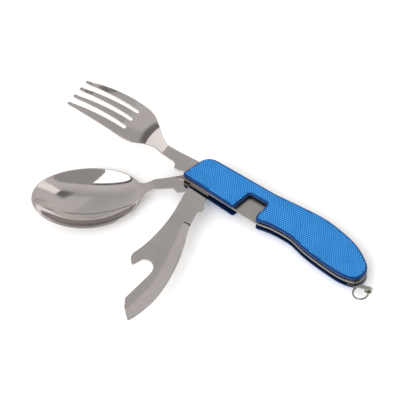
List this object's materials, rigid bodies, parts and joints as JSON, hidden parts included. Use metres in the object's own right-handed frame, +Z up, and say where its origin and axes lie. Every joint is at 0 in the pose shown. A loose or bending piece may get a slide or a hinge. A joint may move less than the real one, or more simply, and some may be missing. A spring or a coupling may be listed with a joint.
{
  "type": "folding camp cutlery",
  "caption": "folding picnic cutlery with fork, spoon and knife with a bottle-opener hook, fanned out of a slim textured handle that parts into halves, with a key ring at the tail",
  "frame": {"origin": "middle of the bounding box at the level of the surface it lies on, with all three tools open", "axes": "+X from the pivot towards the handle's tail; +Z up, away from the surface it lies on; +Y across the handle towards its spine"},
  "size_m": [0.1922, 0.108, 0.0255],
  "materials": {
    "scale": "blue anodised, fine raised dot texture",
    "tool": "polished",
    "liner": "satin",
    "hardware": "plain",
    "washer": "plain"
  },
  "bodies": {
    "lower_half": {"lower_scale": "scale", "spoon_washer": "washer", "middle_washer": "washer", "knife_washer": "washer", "lower_plate": "liner", "lower_pivot": "hardware", "lower_screw_1": "hardware", "lower_screw_2": "hardware", "lower_screw_3": "hardware", "stop_pin": "hardware", "lock_stud_1": "hardware", "lock_stud_2": "hardware", "lower_front_spacer": "liner", "lower_tail_spacer": "liner"},
    "upper_half": {"upper_plate": "liner", "fork_washer_lower": "washer", "fork_washer_upper": "washer", "upper_scale": "scale", "upper_pivot": "hardware", "upper_screw_1": "hardware", "upper_screw_2": "hardware", "upper_screw_3": "hardware", "upper_screw_4": "hardware", "upper_front_spacer": "liner", "upper_middle_spacer": "liner", "upper_tail_spacer": "liner"},
    "spoon_body": {"spoon": "tool"},
    "knife_body": {"knife": "tool"},
    "fork_body": {"fork": "tool"},
    "ring_body": {"split_ring": "hardware"}
  },
  "joints": [
    {"name": "spoon_pivot", "type": "hinge", "parent": "lower_half", "child": "spoon_body", "pos_m": [-0.01273, 0.0376, 0.00398], "axis": [0.0312, 0.1835, 0.9825], "range_deg": [-44, 136]},
    {"name": "knife_pivot", "type": "hinge", "parent": "lower_half", "child": "knife_body", "pos_m": [-0.01273, 0.0376, 0.00398], "axis": [0.0312, 0.1835, 0.9825], "range_deg": [-101.7, 82]},
    {"name": "halves_slide", "type": "slide", "parent": "lower_half", "child": "upper_half", "axis": [-0.9995, 0.0057, 0.0307], "range_m": [0, 0.007]},
    {"name": "fork_pivot", "type": "hinge", "parent": "upper_half", "child": "fork_body", "pos_m": [-0.01273, 0.0376, 0.00398], "axis": [0.0312, 0.1835, 0.9825], "range_deg": [0, 177]},
    {"name": "ring_swing", "type": "hinge", "parent": "lower_half", "child": "ring_body", "pos_m": [0.09379, 0.02833, 0.00613], "axis": [0.3419, -0.9257, 0.162], "range_deg": [-10, 168]}
  ]
}
